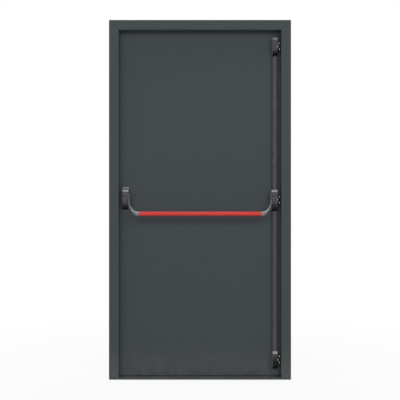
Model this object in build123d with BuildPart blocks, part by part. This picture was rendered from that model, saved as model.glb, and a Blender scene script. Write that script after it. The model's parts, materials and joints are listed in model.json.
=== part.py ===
from build123d import *
from math import atan2, cos, degrees, hypot, radians, sin
import os

# Steel emergency exit door in its welded frame, with a push bar and three side latches.
# Millimetres. X runs along the wall, Y from the push side to the outside, Z up.
# The origin is the middle of the threshold's underside, half way through the frame's depth.

# Frame of folded sheet
frame_width = 1020.0
frame_height = 2015.0
frame_depth = 100.0
frame_face = 55.0
frame_sheet = 2.0
frame_bend = 1.0
frame_lip = 15.0
stop_set_back = 50.0
stop_width = 19.0

# Threshold bar and its floor screw holes
threshold_height = 8.0
threshold_edge = 1.0
floor_hole_radius = 3.5
floor_hole_sink = 7.0
floor_hole_set_back = 25.0
floor_hole_shares = (-0.8, 0.0, 0.8)

# Holes that fix the jambs to the wall
fixing_radius = 5.25
fixing_floor_gap = 250.0
fixing_top_gap = 265.0
fixing_count = 4
fixing_set_back = 14.0

# Rubber strips on the stop
seal_inset = 3.0
seal_width = 10.0
seal_round = 2.0
soft_clearance = 0.3

# Leaf of two sheet trays on folded channels
leaf_gap = 4.0
leaf_sill_gap = 4.0
leaf_seal_gap = 5.0
skin_sheet = 1.2
skin_bend = 2.0
skin_return = 18.0
stile_width = 74.0
stile_sheet = 2.0
rail_height = 40.0

# Hinges on the outside
hinge_height = 120.0
hinge_inset = 230.0
hinge_sheet = 4.0
hinge_wing = 34.0
hinge_corner = 3.0
knuckle_radius = 8.0
knuckle_length = 34.0
knuckle_relief = 1.0
washer_thickness = 1.5
pin_radius = 4.0
pin_head_radius = 6.0
pin_head_height = 2.5
pin_head_round = 1.2
running_fit = 0.05
end_play = 0.05

# Countersunk screws of the hinges and of the push gear
screw_radius = 1.85
screw_head_radius = 3.75
screw_length = 16.0
screw_fit = 0.05
sink_angle = 90.0
hinge_screw_shares = (-0.4, -0.15, 0.15, 0.4)
hinge_screw_edge = 8.0

# Cases of the push gear
gear_inset = 33.0
case_width = 30.0
bar_case_width = 36.0
case_depth = 50.0
pivot_height = 1027.0
pivot_depth = 35.0
centre_rise = 37.0
centre_fall = 83.5
cover_sheet = 1.5
cover_edge = 4.0
cover_bevel = 12.0
cover_bevel_inset_share = 0.586
cover_chin = 34.0
chassis_sheet = 2.0
chassis_gap = 0.5

# Base under the pivot case
pivot_base_thickness = 8.0
pivot_base_rise = 52.0
pivot_base_fall = 94.0
pivot_base_bevel = 6.0
pivot_base_round = 3.0
pivot_cover_rise = 38.0
pivot_cover_fall = 74.0
bearing_lug_radius = 11.0

# Top and bottom latches
latch_top_inset = 88.0
latch_floor_height = 107.0
latch_rise = 48.0
latch_fall = 57.0
latch_rim = 5.0
latch_depth = 46.0
latch_base_thickness = 4.0
latch_base_round = 1.5

# Bolts
bolt_drop = 20.0
bolt_height = 15.0
bolt_thickness = 9.5
bolt_length = 25.5
bolt_throw = 11.0
bolt_nose = 8.0
bolt_nose_flat = 1.5
bolt_pin_radius = 2.0
bolt_pin_inset = 6.0
bolt_fit = 0.1
bolt_slot_gap = 0.6
bolt_wall_reach = 5.0
guide_sheet = 2.0
guide_length = 16.0

# Push bar
tube_radius = 14.0
tube_wall = 2.0
bar_drop = 97.0
bar_reach = 75.0
press_angle = 24.0
arm_gap = 1.0
arm_plate = 6.0
arm_width = 30.0
arm_boss_radius = 18.0
arm_boss_edge = 1.5
arm_bend_run = 96.0
arm_bend_inward = 52.0
arm_collar = 8.0
arm_round_share = 0.49
# Each section of the bend: share of its turn, share of the swelling from plate to tube
arm_bend_shares = (
    (0.0, 0.0),
    (0.25, 0.03),
    (0.5, 0.18),
    (0.75, 0.55),
    (1.0, 1.0),
)
spigot_length = 25.0
spigot_fit = 0.05
set_screw_radius = 1.5
set_screw_sink = 2.0
shaft_radius = 6.0
bush_wall = 2.0
bush_flange = 1.5
bush_flange_width = 1.0

# Rocker that turns the push into a lift
rocker_radius = 22.0
rocker_thickness = 4.0
rocker_gap = 0.8
rocker_hub_radius = 9.5
rocker_tip_radius = 5.0
rocker_pin_radius = 3.0
rocker_pin_tail = 1.0
rocker_slot_spare = 0.6

# Slider, rods and cams
rod_thickness = 3.0
rod_width = 12.0
rod_stand_off = 7.0
rod_side_gap = 1.0
rod_lap = 27.0
rod_end_gap = 15.0
slider_rise = 31.0
slider_fall = 70.0
cam_sheet = 3.0
cam_gap = 2.0
cam_edge = 2.0
cam_pin_gap = 0.3
rod_tongue_width = 7.0
rod_tongue_height = 8.0
rod_top_rise = 13.0

# Spring over the top of the upper rod
spring_radius = 6.0
spring_wire = 0.9
spring_turns = 5.0
spring_length = 25.0
spring_play = 0.1

# Rod covers and the guides under them
rod_cover_width = 28.0
rod_cover_depth = 25.0
rod_cover_sheet = 1.2
rod_cover_round = 9.0
rod_notch_gap = 2.0
rod_guide_height = 14.0
rod_guide_shares = (0.25, 0.75)

# Strikes on the lock jamb
strike_gap = 1.0
strike_height = 56.0
strike_front = 13.0
strike_rear = 8.0
strike_round = 2.0
lip_hold = 6.0
lip_gap = 0.5
lip_thickness = 7.0
lip_height = 26.0
lip_round = 1.5
strike_screw_pitch = 34.0
strike_screw_set_back = 5.0
strike_head_radius = 4.5
strike_head_height = 4.5
strike_head_round = 1.5
strike_shank_radius = 1.85
strike_shank_tail = 5.0

# Overrun of every cut
cut = 1.0

os.makedirs("parts", exist_ok=True)

# Places of the frame
opening_half = frame_width / 2 - frame_face
opening_top = frame_height - frame_face
rebate_half = opening_half + stop_width
rebate_top = opening_top + stop_width
front_y = -frame_depth / 2
rear_y = frame_depth / 2
stop_y = front_y + stop_set_back

# Places of the leaf
leaf_half = rebate_half - leaf_gap
leaf_top = rebate_top - leaf_gap
leaf_bottom = threshold_height + leaf_sill_gap
leaf_middle = (leaf_top + leaf_bottom) / 2
face_y = stop_y + leaf_seal_gap
hinge_x = -(leaf_half + rebate_half) / 2
hinge_y = rear_y + knuckle_radius
hinge_heights = {
    "upper": leaf_top - hinge_inset,
    "middle": leaf_middle,
    "lower": leaf_bottom + hinge_inset,
}

# Places of the push gear, on the lock side
gear_x = opening_half - gear_inset
case_near = gear_x - case_width / 2
case_far = gear_x + case_width / 2
bar_case_near = case_far - bar_case_width
wall_near = case_near + cover_sheet + chassis_gap
wall_far = case_far - cover_sheet - chassis_gap
bar_wall_near = bar_case_near + cover_sheet + chassis_gap
pivot_y = face_y - pivot_depth
top_latch_height = opening_top - latch_top_inset
centre_bolt_height = pivot_height - bolt_drop

# Places of the rocker, the rods and the cams
half_press = radians(press_angle / 2)
rod_travel = 2 * rocker_radius * sin(half_press)
rocker_near = wall_near + chassis_sheet + bush_flange + rocker_gap
rocker_far = rocker_near + rocker_thickness
rocker_pin_y = pivot_y + rocker_radius * cos(half_press)
rocker_pin_z = pivot_height - rocker_radius * sin(half_press)
slider_x = rocker_far + rod_side_gap
rod_x = slider_x + rod_thickness
rod_rear = face_y - rod_stand_off
rod_front = rod_rear - rod_width
cam_front = rod_front - cam_sheet
rod_top = top_latch_height + rod_top_rise
spring_top = rod_top + spring_length + spring_play

# Places of the bolts and the strikes
bolt_tip = case_far + bolt_throw
bolt_rear = cam_front - cam_gap
bolt_front = bolt_rear - bolt_thickness
bolt_pin_x = bolt_tip - bolt_length + bolt_pin_inset
cam_near = bolt_pin_x - bolt_throw - bolt_pin_radius - running_fit - cam_edge
cam_far = bolt_pin_x + bolt_pin_radius + running_fit + cam_edge
strike_x = bolt_tip + strike_gap
lip_near = bolt_tip - lip_hold
lip_front = bolt_rear + lip_gap
lip_rear = lip_front + lip_thickness
strike_screw_y = bolt_front + strike_screw_set_back
bolt_heights = {
    "top": top_latch_height,
    "centre": centre_bolt_height,
    "bottom": latch_floor_height,
}


def keep(piece, name):
    """Label a finished piece and write it under its own name."""
    piece.label = name
    export_step(piece, f"parts/{name}.step")


def block(low, high, mode=Mode.ADD):
    """Box between two opposite corners, in the part that is being built."""
    size = [b - a for a, b in zip(low, high)]
    middle = tuple((a + b) / 2 for a, b in zip(low, high))
    with Locations(middle):
        Box(*size, mode=mode)


def rod_between(start, direction, radius, length, mode=Mode.ADD):
    """Cylinder from a point along a direction, in the part that is being built."""
    with Locations(Plane(origin=start, z_dir=direction)):
        Cylinder(radius, length, align=(Align.CENTER, Align.CENTER, Align.MIN), mode=mode)


def mirrored(piece):
    """The same piece on the other side of the door's middle plane."""
    return mirror(piece, about=Plane.YZ)


def hinge_screw_places(side_x):
    """Middle of every screw head on one wing of the three hinges."""
    return [
        (side_x, rear_y + hinge_sheet, height + share * hinge_height)
        for height in hinge_heights.values()
        for share in hinge_screw_shares
    ]


frame_screw_x = hinge_x - hinge_wing + hinge_screw_edge
leaf_screw_x = hinge_x + hinge_wing - hinge_screw_edge
frame_screw_places = hinge_screw_places(frame_screw_x)
leaf_screw_places = hinge_screw_places(leaf_screw_x)
pivot_base_front = face_y - pivot_base_thickness
pivot_screw_places = [
    (-gear_x, pivot_base_front, pivot_height + bearing_lug_radius + screw_head_radius * 2),
    (-gear_x, pivot_base_front, pivot_height - pivot_cover_fall + screw_head_radius * 3),
]
chassis_screw_x = rod_x + rod_thickness + screw_head_radius
centre_screw_places = [
    (chassis_screw_x, face_y - chassis_sheet, pivot_height + bearing_lug_radius + screw_head_radius * 2),
    (chassis_screw_x, face_y - chassis_sheet, pivot_height - centre_fall + screw_head_radius * 3),
]
latch_screw_places = [
    (chassis_screw_x, face_y - latch_base_thickness, height + offset_z)
    for height in (top_latch_height, latch_floor_height)
    for offset_z in (latch_rise - screw_head_radius * 4, latch_rim + screw_head_radius * 2 - latch_fall)
]
gear_screw_places = pivot_screw_places + centre_screw_places + latch_screw_places


def sink_holes(places, outward):
    """Countersunk screw holes in the part that is being built."""
    planes = [Plane(origin=place, z_dir=outward) for place in places]
    with Locations(*planes):
        CounterSinkHole(screw_radius + screw_fit, screw_head_radius, screw_length, sink_angle)


def clear_holes(places, inward):
    """Plain holes for the screw shanks in the part that is being built."""
    for place in places:
        rod_between(place, inward, screw_radius + screw_fit, screw_length + cut, Mode.SUBTRACT)


def sunk_screws(places, inward):
    """Group of countersunk screws, heads flush with the places given."""
    head = screw_head_radius - screw_radius
    with BuildPart() as group:
        with Locations(*[Plane(origin=place, z_dir=inward) for place in places]):
            Cone(
                screw_head_radius,
                screw_radius,
                head,
                align=(Align.CENTER, Align.CENTER, Align.MIN),
            )
            Cylinder(
                screw_radius,
                screw_length,
                align=(Align.CENTER, Align.CENTER, Align.MIN),
            )
    return group.part


# Frame members
mitre_lock = Plane(origin=(opening_half, 0, opening_top), z_dir=(-1, 0, 1))
mitre_hinge = Plane(origin=(-opening_half, 0, opening_top), z_dir=(1, 0, 1))


def frame_member(plane, length):
    """Folded section of face, reveal, stop, rebate and rear face, carried along the plane's normal."""
    outer_bend = frame_bend + frame_sheet
    outline = (
        (frame_face, front_y + frame_lip),
        (frame_face, front_y),
        (0, front_y),
        (0, stop_y),
        (stop_width, stop_y),
        (stop_width, rear_y),
        (frame_face, rear_y),
        (frame_face, rear_y - frame_lip),
    )
    bends = (outer_bend, outer_bend, outer_bend, frame_bend, outer_bend, outer_bend)
    with BuildPart() as member:
        with BuildSketch(plane):
            with BuildLine():
                FilletPolyline(*outline, radius=bends)
                offset(amount=frame_sheet, side=Side.RIGHT)
            make_face()
        extrude(amount=length)
    return member.part


lock_plane = Plane(origin=(opening_half, 0, 0), x_dir=(1, 0, 0), z_dir=(0, 0, 1))
hinge_plane = Plane(origin=(-opening_half, 0, frame_height), x_dir=(-1, 0, 0), z_dir=(0, 0, -1))
head_plane = Plane(origin=(frame_width / 2, 0, opening_top), x_dir=(0, 0, 1), z_dir=(-1, 0, 0))


def fixing_holes(reveal_x):
    """Row of wall-fixing holes in one reveal of the part that is being built."""
    fixing_pitch = (frame_height - fixing_floor_gap - fixing_top_gap) / (fixing_count - 1)
    for index in range(fixing_count):
        height = fixing_floor_gap + index * fixing_pitch
        with Locations(Plane(origin=(reveal_x, front_y + fixing_set_back, height), z_dir=(1, 0, 0))):
            Cylinder(fixing_radius, 2 * (frame_sheet + cut), mode=Mode.SUBTRACT)


strike_screw_places = [
    (strike_x, strike_screw_y, height + side * strike_screw_pitch / 2)
    for height in bolt_heights.values()
    for side in (-1, 1)
]


def strike_holes():
    """Holes for the strike screws in the part that is being built."""
    reach = opening_half - strike_x + frame_sheet + cut
    for place in strike_screw_places:
        rod_between(place, (1, 0, 0), strike_shank_radius + screw_fit, reach, Mode.SUBTRACT)


with BuildPart() as lock_jamb:
    add(frame_member(lock_plane, frame_height))
    split(bisect_by=mitre_lock, keep=Keep.BOTTOM)
    fixing_holes(opening_half)
    strike_holes()

with BuildPart() as hinge_jamb:
    add(frame_member(hinge_plane, frame_height))
    split(bisect_by=mitre_hinge, keep=Keep.BOTTOM)
    fixing_holes(-opening_half)
    clear_holes(frame_screw_places, (0, -1, 0))

with BuildPart() as head:
    add(frame_member(head_plane, frame_width))
    split(bisect_by=mitre_lock, keep=Keep.TOP)
    split(bisect_by=mitre_hinge, keep=Keep.TOP)

with BuildPart() as threshold:
    with BuildSketch(Plane.XY):
        with BuildLine():
            Polyline(
                (-opening_half, front_y),
                (opening_half, front_y),
                (opening_half, stop_y),
                (rebate_half, stop_y),
                (rebate_half, rear_y),
                (-rebate_half, rear_y),
                (-rebate_half, stop_y),
                (-opening_half, stop_y),
                close=True,
            )
        make_face()
        inner_corners = vertices().group_by(Axis.X)[0] + vertices().group_by(Axis.X)[-1]
        fillet(inner_corners.filter_by_position(Axis.Y, stop_y - cut, stop_y + cut), frame_bend)
    extrude(amount=threshold_height)
    chamfer(faces().sort_by(Axis.Z)[-1].edges().sort_by(Axis.Y)[0], threshold_edge)
    floor_holes = [
        Plane(origin=(share * opening_half, front_y + floor_hole_set_back, threshold_height))
        for share in floor_hole_shares
    ]
    with Locations(*floor_holes):
        CounterSinkHole(floor_hole_radius, floor_hole_sink, threshold_height + cut, sink_angle)

seal_near = opening_half + seal_inset
seal_far = seal_near + seal_width
seal_low = opening_top + seal_inset
seal_rear = face_y - soft_clearance
with BuildPart() as stop_seal:
    block((seal_near, stop_y, threshold_height), (seal_far, seal_rear, seal_low))
    block((-seal_far, stop_y, threshold_height), (-seal_near, seal_rear, seal_low))
    block((-seal_far, stop_y, seal_low + soft_clearance), (seal_far, seal_rear, seal_low + seal_width))
    leaf_side = faces().filter_by(Axis.Y).group_by(Axis.Y)[-1]
    long_edges = leaf_side.edges().filter_by(lambda edge: edge.length > 2 * seal_width)
    fillet(long_edges, seal_round)

keep(lock_jamb.part, "lock_jamb")
keep(hinge_jamb.part, "hinge_jamb")
keep(head.part, "head")
keep(threshold.part, "threshold")
keep(stop_seal.part, "stop_seal")


# Strikes and their screws
def strike(height):
    """Strike plate with a lip that holds the bolt from the outside."""
    half = strike_height / 2
    lip_half = lip_height / 2
    with BuildPart() as piece:
        block(
            (strike_x, bolt_rear - strike_front, height - half),
            (opening_half, lip_front + strike_rear, height + half),
        )
        fillet(faces().sort_by(Axis.X)[0].edges(), strike_round)
        block((lip_near, lip_front, height - lip_half), (strike_x + strike_round, lip_rear, height + lip_half))
        fillet(faces().sort_by(Axis.X)[0].edges(), lip_round)
        strike_holes()
    return piece.part


for name, height in bolt_heights.items():
    keep(strike(height), f"{name}_strike")

with BuildPart() as strike_screws:
    for place in strike_screw_places:
        rod_between(place, (-1, 0, 0), strike_head_radius, strike_head_height)
    fillet(edges().group_by(Axis.X)[0], strike_head_round)
    shank = opening_half - strike_x + frame_sheet + strike_shank_tail
    for place in strike_screw_places:
        rod_between(place, (1, 0, 0), strike_shank_radius, shank)
keep(strike_screws.part, "strike_screws")

# Hinges
leaf_knuckle_low = -hinge_height / 2 + knuckle_length + washer_thickness
leaf_knuckle_high = hinge_height / 2 - knuckle_length - washer_thickness
knuckle_clear = knuckle_radius + knuckle_relief


def hinge_frame_plate(height):
    """Fixed wing with the two outer knuckles."""
    low = height - hinge_height / 2
    high = height + hinge_height / 2
    with BuildPart() as piece:
        block((hinge_x - hinge_wing, rear_y, low), (hinge_x - knuckle_clear, rear_y + hinge_sheet, high))
        fillet(edges().filter_by(Axis.Y).group_by(Axis.X)[0], hinge_corner)
        for start in (low, high - knuckle_length):
            block(
                (hinge_x - knuckle_clear, rear_y, start),
                (hinge_x, rear_y + hinge_sheet, start + knuckle_length),
            )
            rod_between((hinge_x, hinge_y, start), (0, 0, 1), knuckle_radius, knuckle_length)
        rod_between((hinge_x, hinge_y, low), (0, 0, 1), pin_radius + screw_fit, hinge_height, Mode.SUBTRACT)
        sink_holes([place for place in frame_screw_places if low < place[2] < high], (0, 1, 0))
    return piece.part


def hinge_leaf_plate(height):
    """Swinging wing with the middle knuckle."""
    low = height - hinge_height / 2
    high = height + hinge_height / 2
    knuckle_low = height + leaf_knuckle_low + end_play
    knuckle_high = height + leaf_knuckle_high - end_play
    with BuildPart() as piece:
        block((hinge_x + knuckle_clear, rear_y, low), (hinge_x + hinge_wing, rear_y + hinge_sheet, high))
        fillet(edges().filter_by(Axis.Y).group_by(Axis.X)[-1], hinge_corner)
        block((hinge_x, rear_y, knuckle_low), (hinge_x + knuckle_clear, rear_y + hinge_sheet, knuckle_high))
        length = knuckle_high - knuckle_low
        rod_between((hinge_x, hinge_y, knuckle_low), (0, 0, 1), knuckle_radius, length)
        rod_between(
            (hinge_x, hinge_y, knuckle_low), (0, 0, 1), pin_radius + running_fit, length, Mode.SUBTRACT
        )
        sink_holes([place for place in leaf_screw_places if low < place[2] < high], (0, 1, 0))
    return piece.part


def hinge_pin(height):
    """Pin with a domed head at each end."""
    low = height - hinge_height / 2
    with BuildPart() as piece:
        rod_between((hinge_x, hinge_y, low - pin_head_height), (0, 0, 1), pin_head_radius, pin_head_height)
        rod_between((hinge_x, hinge_y, low + hinge_height), (0, 0, 1), pin_head_radius, pin_head_height)
        ends = edges().filter_by(GeomType.CIRCLE)
        fillet(ends.group_by(Axis.Z)[0] + ends.group_by(Axis.Z)[-1], pin_head_round)
        rod_between((hinge_x, hinge_y, low), (0, 0, 1), pin_radius, hinge_height)
    return piece.part


for name, height in hinge_heights.items():
    keep(hinge_frame_plate(height), f"{name}_hinge_frame_plate")
    keep(hinge_leaf_plate(height), f"{name}_hinge_leaf_plate")
    keep(hinge_pin(height), f"{name}_hinge_pin")

with BuildPart() as hinge_washers:
    for height in hinge_heights.values():
        for low in (leaf_knuckle_low - washer_thickness, leaf_knuckle_high):
            start = (hinge_x, hinge_y, height + low)
            rod_between(start, (0, 0, 1), knuckle_radius, washer_thickness)
            rod_between(start, (0, 0, 1), pin_radius + running_fit, washer_thickness, Mode.SUBTRACT)
keep(hinge_washers.part, "hinge_washers")
keep(sunk_screws(frame_screw_places, (0, -1, 0)), "hinge_frame_screws")
keep(sunk_screws(leaf_screw_places, (0, -1, 0)), "hinge_leaf_screws")

# Leaf
with BuildPart() as outer_skin:
    block((-leaf_half, face_y, leaf_bottom), (leaf_half, rear_y, leaf_top))
    fillet(faces().sort_by(Axis.Y)[-1].edges(), skin_bend)
    block(
        (skin_sheet - leaf_half, face_y, leaf_bottom + skin_sheet),
        (leaf_half - skin_sheet, rear_y - skin_sheet, leaf_top - skin_sheet),
        Mode.SUBTRACT,
    )
    clear_holes(leaf_screw_places, (0, -1, 0))

inner_half = leaf_half - skin_sheet
inner_low = leaf_bottom + skin_sheet
inner_high = leaf_top - skin_sheet
with BuildPart() as inner_skin:
    block((-inner_half, face_y, inner_low), (inner_half, face_y + skin_return, inner_high))
    block(
        (skin_sheet - inner_half, face_y + skin_sheet, inner_low + skin_sheet),
        (inner_half - skin_sheet, face_y + skin_return, inner_high - skin_sheet),
        Mode.SUBTRACT,
    )
    clear_holes(gear_screw_places, (0, 1, 0))

stile_far = inner_half - skin_sheet
stile_near = stile_far - stile_width
stile_front = face_y + skin_sheet
stile_rear = rear_y - skin_sheet
stile_low = inner_low + skin_sheet
stile_high = inner_high - skin_sheet
rail_half = stile_near


def stile():
    """Folded channel of the lock side, its back to the leaf's edge."""
    with BuildPart() as piece:
        block((stile_near, stile_front, stile_low), (stile_far, stile_rear, stile_high))
        block(
            (stile_near, stile_front + stile_sheet, stile_low),
            (stile_far - stile_sheet, stile_rear - stile_sheet, stile_high),
            Mode.SUBTRACT,
        )
    return piece.part


def rail(outer_z, inner_z):
    """Folded channel across the leaf, its back to the leaf's top or bottom edge."""
    web = stile_sheet if inner_z > outer_z else -stile_sheet
    with BuildPart() as piece:
        block(
            (-rail_half, stile_front, min(outer_z, inner_z)),
            (rail_half, stile_rear, max(outer_z, inner_z)),
        )
        block(
            (-rail_half, stile_front + stile_sheet, min(outer_z + web, inner_z)),
            (rail_half, stile_rear - stile_sheet, max(outer_z + web, inner_z)),
            Mode.SUBTRACT,
        )
    return piece.part


with BuildPart() as lock_stile:
    add(stile())
    clear_holes(centre_screw_places + latch_screw_places, (0, 1, 0))

with BuildPart() as hinge_stile:
    add(mirrored(stile()))
    clear_holes(pivot_screw_places, (0, 1, 0))
    clear_holes(leaf_screw_places, (0, -1, 0))

with BuildPart() as leaf_core:
    block((-rail_half, stile_front, stile_low + rail_height), (rail_half, stile_rear, stile_high - rail_height))

keep(outer_skin.part, "outer_skin")
keep(inner_skin.part, "inner_skin")
keep(lock_stile.part, "lock_stile")
keep(hinge_stile.part, "hinge_stile")
keep(rail(stile_high, stile_high - rail_height), "top_rail")
keep(rail(stile_low, stile_low + rail_height), "bottom_rail")
keep(leaf_core.part, "leaf_core")


# Cases of the push gear
def hump(low, high, inset):
    """Case form between two corners: its front top edge has a bevel, its front bottom a large round."""
    near, front, bottom = (value + inset for value in low)
    far = high[0] - inset
    top = high[2] - inset
    with BuildPart() as body:
        with BuildSketch(Plane.YZ.offset(near)):
            with Locations(((front + high[1]) / 2, (bottom + top) / 2)):
                Rectangle(high[1] - front, top - bottom)
            fillet(vertices().group_by(Axis.X)[0].sort_by(Axis.Y)[0], cover_chin - inset)
            top_corner = vertices().group_by(Axis.X)[0].sort_by(Axis.Y)[-1]
            chamfer(top_corner, cover_bevel - inset * cover_bevel_inset_share)
        extrude(amount=far - near)
        rims = faces().filter_by(Axis.X).edges()
        fillet(rims.filter_by_position(Axis.Y, front, high[1], (True, False)), cover_edge - inset)
    return body.part


def cover(low, high):
    """Pressed cover with an even wall, open at the back."""
    with BuildPart() as shell:
        add(hump(low, high, 0))
        add(hump(low, high, cover_sheet), mode=Mode.SUBTRACT)
    return shell.part


rod_notch_near = slider_x - rod_notch_gap
rod_notch_far = rod_x + rod_thickness + rod_notch_gap
rod_notch_front = rod_front - rod_notch_gap


def rod_notch(height):
    """Way for the rods through a cover's end wall, in the part that is being built."""
    block(
        (rod_notch_near, rod_notch_front, height - cover_sheet - cut),
        (rod_notch_far, face_y + cut, height + cover_sheet + cut),
        Mode.SUBTRACT,
    )


def bolt_window(near, far, height, gap):
    """Way for a bolt through a side wall, in the part that is being built."""
    half = bolt_height / 2 + gap
    block(
        (near - cut, bolt_front - gap, height - half),
        (far + cut, bolt_rear + gap, height + half),
        Mode.SUBTRACT,
    )


def bolt_guides(height):
    """Far wall with two tabs that a bolt slides between, in the part that is being built."""
    half = bolt_height / 2 + bolt_fit
    reach = half + guide_sheet + bolt_wall_reach
    block(
        (wall_far - chassis_sheet, bolt_front - bolt_wall_reach, height - reach),
        (wall_far, face_y - chassis_sheet, height + reach),
    )
    for low in (-half - guide_sheet, half):
        block(
            (wall_far - guide_length, bolt_front, height + low),
            (wall_far, bolt_rear, height + low + guide_sheet),
        )
    bolt_window(wall_far - chassis_sheet, wall_far, height, bolt_fit)


def bearing_wall(near_x):
    """Upright lug with a seat for a shaft bush, in the part that is being built."""
    half = bearing_lug_radius
    block((near_x, pivot_y, pivot_height - half), (near_x + chassis_sheet, face_y, pivot_height + half))
    start = (near_x, pivot_y, pivot_height)
    rod_between(start, (1, 0, 0), half, chassis_sheet)
    rod_between(start, (1, 0, 0), shaft_radius + bush_wall, chassis_sheet, Mode.SUBTRACT)


with BuildPart() as pivot_base:
    block(
        (-case_far, pivot_base_front, pivot_height - pivot_base_fall),
        (-bar_case_near, face_y, pivot_height + pivot_base_rise),
    )
    rim = faces().sort_by(Axis.Y)[0].edges().filter_by(Axis.X).sort_by(Axis.Z)
    chamfer(rim[-1], pivot_base_bevel)
    fillet(rim[0], pivot_base_round)
    bearing_wall(-wall_far)
    bearing_wall(-bar_wall_near - chassis_sheet)
    sink_holes(pivot_screw_places, (0, -1, 0))

shaft_hole = shaft_radius + bush_wall + bush_flange_width + chassis_gap
with BuildPart() as pivot_cover:
    add(
        cover(
            (-case_far, face_y - case_depth, pivot_height - pivot_cover_fall),
            (-bar_case_near, pivot_base_front, pivot_height + pivot_cover_rise),
        )
    )
    start = (-bar_case_near - cover_sheet - cut, pivot_y, pivot_height)
    rod_between(start, (1, 0, 0), shaft_hole, cover_sheet + 2 * cut, Mode.SUBTRACT)

centre_low = pivot_height - centre_fall
centre_high = pivot_height + centre_rise
with BuildPart() as centre_chassis:
    block(
        (bar_wall_near, face_y - chassis_sheet, centre_low + cover_sheet + chassis_gap),
        (wall_far, face_y, centre_high - cover_sheet - chassis_gap),
    )
    fillet(edges().filter_by(Axis.Y), cover_edge - cover_sheet)
    bolt_guides(centre_bolt_height)
    bearing_wall(bar_wall_near)
    bearing_wall(wall_far - chassis_sheet)
    bolt_window(wall_far - chassis_sheet, wall_far, centre_bolt_height, bolt_fit)
    sink_holes(centre_screw_places, (0, -1, 0))

with BuildPart() as centre_cover:
    add(cover((bar_case_near, face_y - case_depth, centre_low), (case_far, face_y, centre_high)))
    start = (bar_case_near - cut, pivot_y, pivot_height)
    rod_between(start, (1, 0, 0), shaft_hole, cover_sheet + 2 * cut, Mode.SUBTRACT)
    bolt_window(case_far - cover_sheet, case_far, centre_bolt_height, bolt_slot_gap)
    rod_notch(centre_low)
    rod_notch(centre_high)


def shaft_bush(wall_x, inner_side):
    """Flanged bush in a bearing wall, its flange on the inner side, in the part that is being built."""
    start = (wall_x, pivot_y, pivot_height)
    flange_x = wall_x + chassis_sheet if inner_side > 0 else wall_x - bush_flange
    rod_between(start, (1, 0, 0), shaft_radius + bush_wall, chassis_sheet)
    flange = (flange_x, pivot_y, pivot_height)
    rod_between(flange, (1, 0, 0), shaft_radius + bush_wall + bush_flange_width, bush_flange)
    bore = (wall_x - bush_flange, pivot_y, pivot_height)
    length = chassis_sheet + 2 * bush_flange
    rod_between(bore, (1, 0, 0), shaft_radius + running_fit, length, Mode.SUBTRACT)


with BuildPart() as centre_bushes:
    shaft_bush(bar_wall_near, 1)
    shaft_bush(wall_far - chassis_sheet, -1)

with BuildPart() as pivot_bushes:
    shaft_bush(-wall_far, 1)
    shaft_bush(-bar_wall_near - chassis_sheet, -1)

keep(pivot_base.part, "pivot_base")
keep(pivot_cover.part, "pivot_cover")
keep(pivot_bushes.part, "pivot_bushes")
keep(centre_chassis.part, "centre_chassis")
keep(centre_cover.part, "centre_cover")
keep(centre_bushes.part, "centre_bushes")


def latch_chassis(height):
    """Latch base with a rim that shows under the cover, and the walls that guide the bolt."""
    with BuildPart() as piece:
        block(
            (case_near, face_y - latch_base_thickness, height - latch_fall),
            (case_far, face_y, height + latch_rise),
        )
        fillet(faces().sort_by(Axis.Y)[0].edges().sort_by(Axis.Z)[0], latch_base_round)
        bolt_guides(height)
        sink_holes([place for place in latch_screw_places if abs(place[2] - height) < latch_rise], (0, -1, 0))
    return piece.part


def latch_cover(height, lower_end, upper_end):
    """Latch cover with its bolt window, and a way for the rods at the ends named."""
    low_z = height - latch_fall + latch_rim
    high_z = height + latch_rise
    with BuildPart() as piece:
        add(
            cover(
                (case_near, face_y - latch_depth, low_z),
                (case_far, face_y - latch_base_thickness, high_z),
            )
        )
        bolt_window(case_far - cover_sheet, case_far, height, bolt_slot_gap)
        if lower_end:
            rod_notch(low_z)
        if upper_end:
            rod_notch(high_z)
    return piece.part


with BuildPart() as top_latch_chassis:
    add(latch_chassis(top_latch_height))
    block(
        (rod_x - spring_radius, rod_front, spring_top),
        (wall_far, face_y - latch_base_thickness, spring_top + chassis_sheet),
    )
    block(
        (wall_far - chassis_sheet, rod_front, top_latch_height),
        (wall_far, face_y - latch_base_thickness, spring_top + chassis_sheet),
    )
    bolt_window(wall_far - chassis_sheet, wall_far, top_latch_height, bolt_fit)

keep(top_latch_chassis.part, "top_latch_chassis")
keep(latch_chassis(latch_floor_height), "bottom_latch_chassis")
keep(latch_cover(top_latch_height, True, False), "top_latch_cover")
keep(latch_cover(latch_floor_height, False, True), "bottom_latch_cover")
keep(sunk_screws(gear_screw_places, (0, 1, 0)), "gear_screws")

# Rods under their covers
upper_cover_span = (centre_high, top_latch_height - latch_fall)
lower_cover_span = (latch_floor_height + latch_rise, centre_low)


def rod_cover(span):
    """Folded cover with round shoulders between two cases."""
    half = rod_cover_width / 2
    with BuildPart() as piece:
        with BuildSketch(Plane.XY.offset(span[0])):
            with BuildLine():
                FilletPolyline(
                    (gear_x - half, face_y),
                    (gear_x - half, face_y - rod_cover_depth),
                    (gear_x + half, face_y - rod_cover_depth),
                    (gear_x + half, face_y),
                    radius=rod_cover_round,
                )
                offset(amount=rod_cover_sheet, side=Side.LEFT)
            make_face()
        extrude(amount=span[1] - span[0])
    return piece.part


keep(rod_cover(upper_cover_span), "upper_rod_cover")
keep(rod_cover(lower_cover_span), "lower_rod_cover")

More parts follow.
